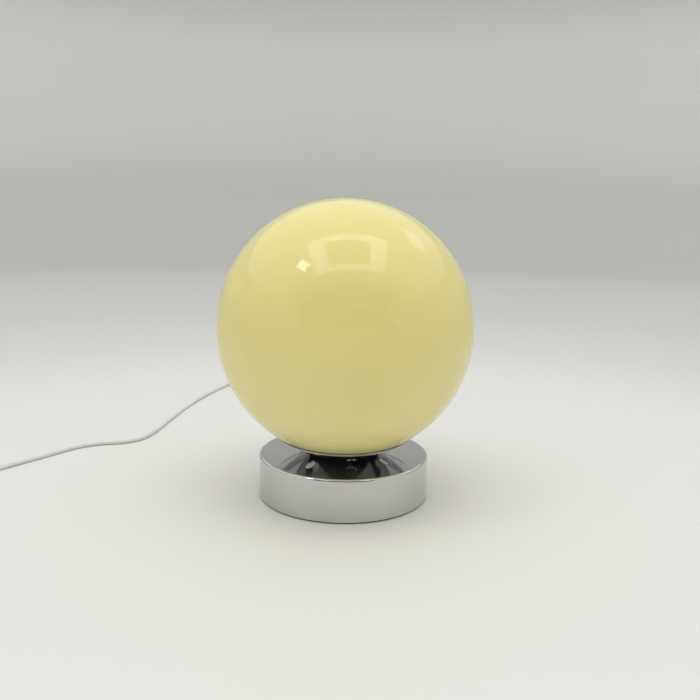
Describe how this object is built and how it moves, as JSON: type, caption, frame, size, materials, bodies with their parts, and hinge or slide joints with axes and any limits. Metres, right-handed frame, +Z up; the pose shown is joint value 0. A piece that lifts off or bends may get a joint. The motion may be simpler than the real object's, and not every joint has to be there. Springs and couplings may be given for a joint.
{
  "type": "glass globe table lamp",
  "caption": "Table lamp with an opal glass globe resting in a shallow chromed dish on a chromed drum, with its bulb, a cord switch and a plug.",
  "frame": {"origin": "on the table under the middle of the drum", "axes": "+Z up along the lamp's axis, +Y towards the back where the cord leaves, +X to the right seen from the front"},
  "size_m": [0.4955, 0.5864, 0.2347],
  "materials": {
    "chrome": "polished chrome plate",
    "zinc_steel": "bright zinc plate",
    "cast_iron": "black enamel on a casting",
    "foot_foam": "matt closed-cell foam",
    "brass": "bare brass",
    "seat_rubber": "translucent silicone",
    "holder_plastic": "moulded, satin gloss",
    "holder_ceramic": "glazed porcelain",
    "opal_glass": "glossy cream opal glass",
    "bulb_nickel": "nickel plate",
    "bulb_black": "black bead glass",
    "bulb_plastic": "white moulded, matt dome",
    "bulb_board": "white coated board",
    "cord_sheath": "white flexible sheath",
    "lead_brown": "brown sleeve",
    "lead_blue": "blue sleeve",
    "switch_plastic": "white moulded",
    "plug_plastic": "white moulded",
    "pin_nickel": "nickel plate"
  },
  "bodies": {
    "base": {"drum_shell": "chrome", "dish": "chrome", "bottom_plate": "zinc_steel", "plate_screws": "zinc_steel", "plate_pillars": "zinc_steel", "lower_washer": "zinc_steel", "lower_nut": "zinc_steel", "centring_spider": "zinc_steel", "upper_washer": "zinc_steel", "upper_nut": "zinc_steel", "grub_screw": "zinc_steel", "terminal_screws": "zinc_steel", "switch_screws": "zinc_steel", "base_weight": "cast_iron", "foot_pad": "foot_foam", "stem_tube": "brass", "terminal_blocks": "brass", "centre_contact": "brass", "screw_shell": "brass", "switch_contacts": "brass", "seat_ring": "seat_rubber", "holder_cap": "holder_plastic", "holder_skirt": "holder_plastic", "holder_insert": "holder_ceramic", "cord_relief": "cord_sheath", "cord_inner": "cord_sheath", "cord_lamp_run": "cord_sheath", "cord_coil_run": "cord_sheath", "cord_coil": "cord_sheath", "cord_plug_run": "cord_sheath", "lead_live": "lead_brown", "lead_neutral": "lead_blue", "switch_lower_case": "switch_plastic", "switch_upper_case": "switch_plastic", "coil_clip": "switch_plastic", "plug_body": "plug_plastic", "plug_pins": "pin_nickel"},
    "globe": {"globe": "opal_glass"},
    "bulb": {"bulb_contact": "bulb_nickel", "bulb_insulator": "bulb_black", "bulb_cap": "bulb_nickel", "bulb_housing": "bulb_plastic", "bulb_led_board": "bulb_board", "bulb_dome": "bulb_plastic"},
    "rocker": {"switch_rocker": "switch_plastic"}
  },
  "joints": [
    {"name": "globe_lift", "type": "slide", "parent": "base", "child": "globe", "axis": [0, 0, 1], "range_m": [0, 0.15]},
    {"name": "bulb_turn", "type": "hinge", "parent": "base", "child": "bulb", "pos_m": [0, 0, 0.0704], "axis": [0, 0, 1], "range_deg": [0, 2160]},
    {"name": "rocker_press", "type": "hinge", "parent": "base", "child": "rocker", "pos_m": [-0.322, -0.067, 0.0116], "axis": [1, 0, 0], "range_deg": [0, 14]}
  ]
}
